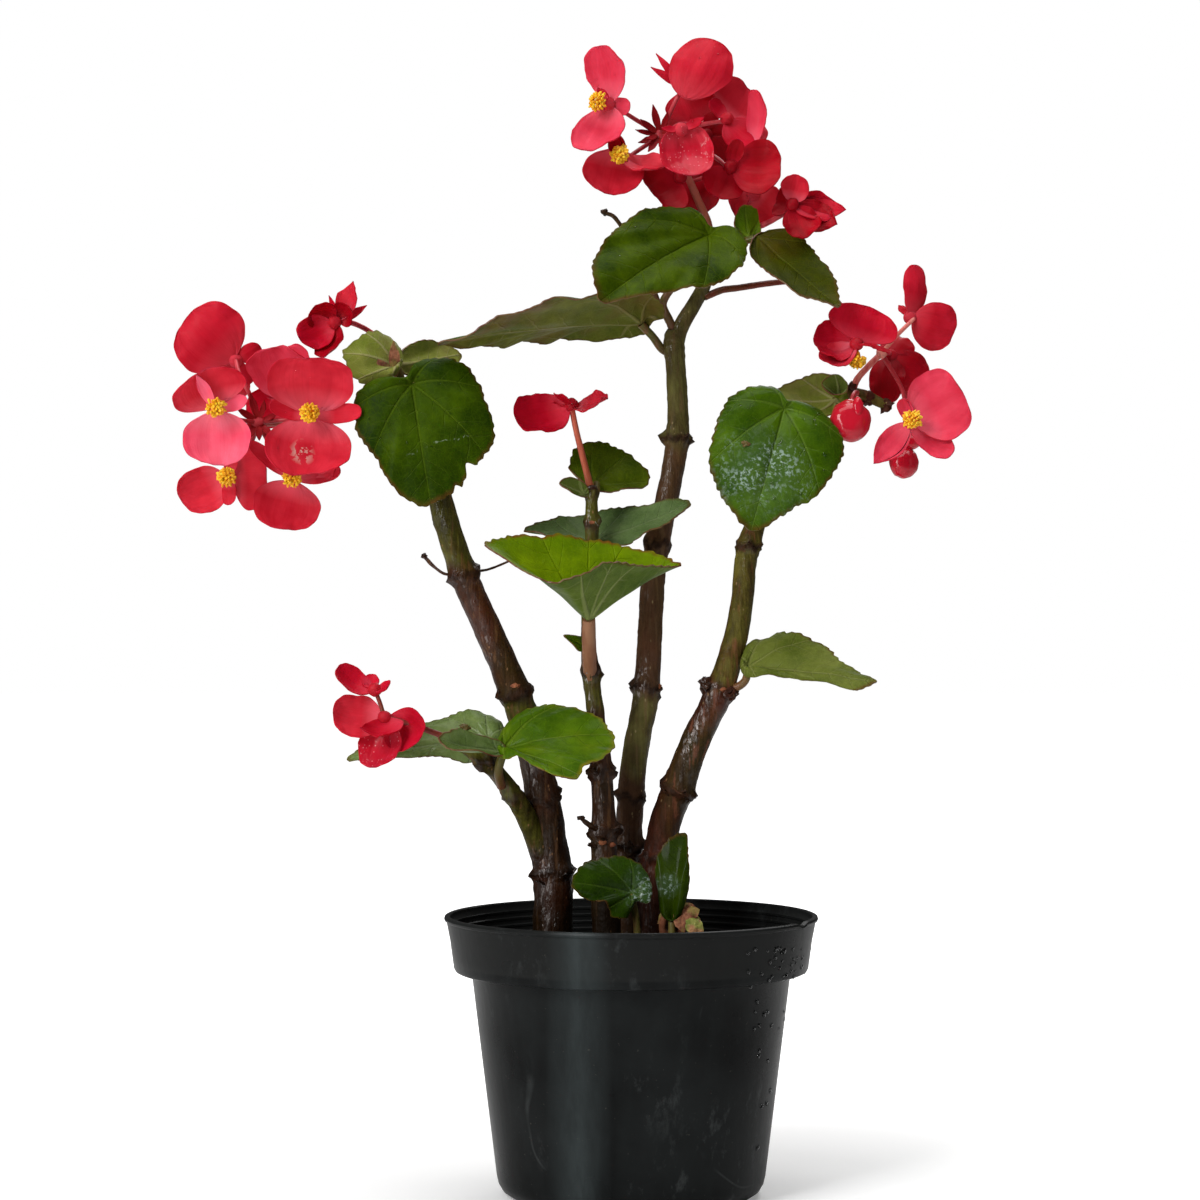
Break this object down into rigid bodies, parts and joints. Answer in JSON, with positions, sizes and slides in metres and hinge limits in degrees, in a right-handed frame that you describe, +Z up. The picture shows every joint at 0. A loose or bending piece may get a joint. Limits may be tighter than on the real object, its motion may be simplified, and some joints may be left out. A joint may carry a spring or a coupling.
{
  "type": "potted begonia",
  "caption": "Flowering cane begonia with bare branching stems, glossy toothed leaves and clusters of coral-red blooms, rooted in soil in a round black nursery pot.",
  "frame": {"origin": "centre of the pot's flat underside, at the level it rests on", "axes": "+Z up through the pot's axis, -Y towards the viewer of the picture, +X to the viewer's right"},
  "size_m": [0.323, 0.1518, 0.4776],
  "materials": {
    "pot": "black injection-moulded polypropylene, low gloss",
    "soil": "moist peat and bark potting mix",
    "bark": "wet smooth brown bark with pale breathing pores",
    "green_wood": "smooth green-brown young cane",
    "young_shoot": "pinkish green bud scales",
    "leaf": "glossy green leaf with a reddish toothed edge",
    "leaf_underside": "grey-green leaf seen from its underside",
    "petal_coral": "satin coral-red petal",
    "petal_deep_red": "satin dark red petal",
    "stamens": "yellow knobbed stamens",
    "flower_stalk": "pinkish red smooth stalk"
  },
  "bodies": {
    "root": {"pot": "pot", "soil": "soil", "cane_left": "bark", "cane_centre": "bark", "cane_tall": "bark", "cane_right": "green_wood", "shoot_basal": "young_shoot", "leaf_left_front": "leaf", "leaf_top_front": "leaf", "leaves_top_right": "leaf", "leaf_right_front": "leaf", "leaf_centre_cupped": "leaf", "leaf_centre_upper": "leaf", "leaves_branch_front": "leaf", "leaf_branch_long": "leaf", "leaf_base_round": "leaf", "leaf_base_edge": "leaf", "leaves_left_young": "leaf_underside", "leaf_tall_long": "leaf_underside", "leaf_right_back": "leaf_underside", "leaf_right_low": "leaf_underside", "leaf_centre_back": "leaf_underside", "bloom_left_front": "petal_coral", "bloom_left_outer": "petal_coral", "bloom_left_low": "petal_coral", "bloom_left_lowest": "petal_coral", "bloom_left_upper": "petal_coral", "bloom_top_left": "petal_coral", "bloom_top_low_left": "petal_coral", "bloom_top_crown": "petal_coral", "bloom_top_wet": "petal_coral", "bloom_top_under": "petal_coral", "bloom_right_outer": "petal_coral", "bloom_right_front": "petal_coral", "buds_right_hanging": "petal_coral", "bloom_left_back": "petal_deep_red", "buds_left": "petal_deep_red", "bloom_top_dark": "petal_deep_red", "bloom_top_right": "petal_deep_red", "bloom_top_back": "petal_deep_red", "bloom_top_low_right": "petal_deep_red", "buds_top": "petal_deep_red", "bloom_right_top": "petal_deep_red", "bloom_right_dark": "petal_deep_red", "bud_right_round": "petal_deep_red", "bloom_centre": "petal_deep_red", "bloom_low": "petal_deep_red", "stamens_left_front": "stamens", "stamens_left_outer": "stamens", "stamens_left_low": "stamens", "stamens_left_lowest": "stamens", "stamens_top_left": "stamens", "stamens_top_low_left": "stamens", "stamens_right_top": "stamens", "stamens_right_front": "stamens", "stalk_left": "flower_stalk", "stalk_top": "flower_stalk", "stalk_arching": "flower_stalk", "stalk_right": "flower_stalk"}
  },
  "joints": []
}
